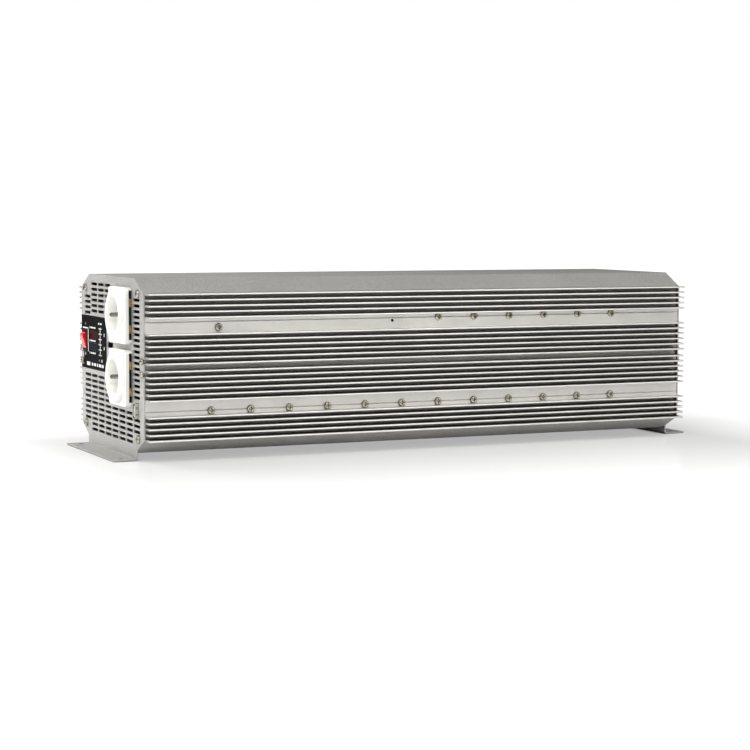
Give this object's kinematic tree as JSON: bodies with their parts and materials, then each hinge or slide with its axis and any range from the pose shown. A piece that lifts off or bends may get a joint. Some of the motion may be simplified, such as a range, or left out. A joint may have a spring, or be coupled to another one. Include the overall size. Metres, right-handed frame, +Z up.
{
  "type": "power inverter",
  "caption": "Long box-shaped power inverter with finned aluminium sides, vented control end with rocker switch and mains sockets, fan and battery terminal end, and bolt-down feet.",
  "frame": {"origin": "middle of the box on the floor the feet stand on", "axes": "+Z up, +Y from the socket end to the battery end, +X towards the right-hand finned side as seen from the socket end"},
  "size_m": [0.249, 0.706, 0.191],
  "materials": {
    "silver_paint": "hammered silver-grey stove enamel, satin",
    "bare_aluminium": "extruded, faint lengthwise die lines",
    "zinc_steel": "zinc-plated, satin",
    "steel_wire": "bright plated wire",
    "black_label": "gloss black film with white print",
    "black_plastic": "fine moulded texture",
    "red_rocker_plastic": "gloss",
    "ivory_plastic": "gloss moulded",
    "socket_base_plastic": "matt moulded",
    "brass": "bare",
    "nickel": "nickel-plated",
    "copper": "bare copper",
    "red_lens": "dark red lens",
    "blue_lens": "dark blue lens",
    "lamp_lens": "milky",
    "red_insulator_plastic": "gloss",
    "board_laminate": "green lacquer",
    "ferrite": "sintered, dull",
    "winding_tape": "yellow polyester tape",
    "capacitor_sleeve": "shrink sleeve",
    "fuse_plastic": "translucent orange",
    "silicone": "grey thermal sheet",
    "usb_tongue_plastic": "white moulded"
  },
  "bodies": {
    "case": {"top_cover": "silver_paint", "bottom_cover": "silver_paint", "front_panel": "silver_paint", "rear_panel": "silver_paint", "heat_sink_upper_right": "bare_aluminium", "heat_sink_lower_right": "bare_aluminium", "heat_sink_upper_left": "bare_aluminium", "heat_sink_lower_left": "bare_aluminium", "panel_screws": "zinc_steel", "clamp_screws": "zinc_steel", "thermostat_screws": "zinc_steel", "fan_screws": "zinc_steel", "control_label": "black_label", "rocker_bezel": "black_plastic", "upper_display": "red_lens", "lower_display": "blue_lens", "level_lamps": "lamp_lens", "indicator_board": "board_laminate", "indicator_board_posts": "zinc_steel", "upper_socket_shell": "ivory_plastic", "lower_socket_shell": "ivory_plastic", "upper_socket_base": "socket_base_plastic", "lower_socket_base": "socket_base_plastic", "upper_socket_contacts": "brass", "lower_socket_contacts": "brass", "upper_earth_pin": "nickel", "lower_earth_pin": "nickel", "usb_shell": "nickel", "usb_tongue": "usb_tongue_plastic", "usb_board": "board_laminate", "fan_frame_left": "black_plastic", "fan_frame_right": "black_plastic", "fan_guard_left": "steel_wire", "fan_guard_right": "steel_wire", "positive_insulator": "red_insulator_plastic", "negative_insulator": "black_plastic", "terminal_studs": "brass", "terminal_nuts": "brass", "terminal_washers": "brass", "positive_bus_bar": "copper", "negative_bus_bar": "copper", "ground_stud": "zinc_steel", "ground_nut": "zinc_steel", "main_board": "board_laminate", "output_board": "board_laminate", "power_transistors": "black_plastic", "clamp_bars": "zinc_steel", "insulating_strips": "silicone", "thermostats": "black_plastic", "transformer_cores": "ferrite", "transformer_windings": "winding_tape", "input_capacitors": "capacitor_sleeve", "output_capacitors": "capacitor_sleeve", "blade_fuses": "fuse_plastic", "output_choke": "copper", "control_board": "board_laminate", "control_chips": "black_plastic"},
    "rocker": {"rocker": "red_rocker_plastic"},
    "fan_left": {"fan_rotor_left": "black_plastic"},
    "fan_right": {"fan_rotor_right": "black_plastic"}
  },
  "joints": [
    {"name": "rocker_tilt", "type": "hinge", "parent": "case", "child": "rocker", "pos_m": [-0.0944, -0.3256, 0.1165], "axis": [1, 0, 0], "range_deg": [-32, 0]},
    {"name": "fan_left_spin", "type": "hinge", "parent": "case", "child": "fan_left", "pos_m": [-0.048, 0.3135, 0.128], "axis": [0, 1, 0], "continuous": true},
    {"name": "fan_right_spin", "type": "hinge", "parent": "case", "child": "fan_right", "pos_m": [0.048, 0.3135, 0.128], "axis": [0, 1, 0], "continuous": true}
  ]
}
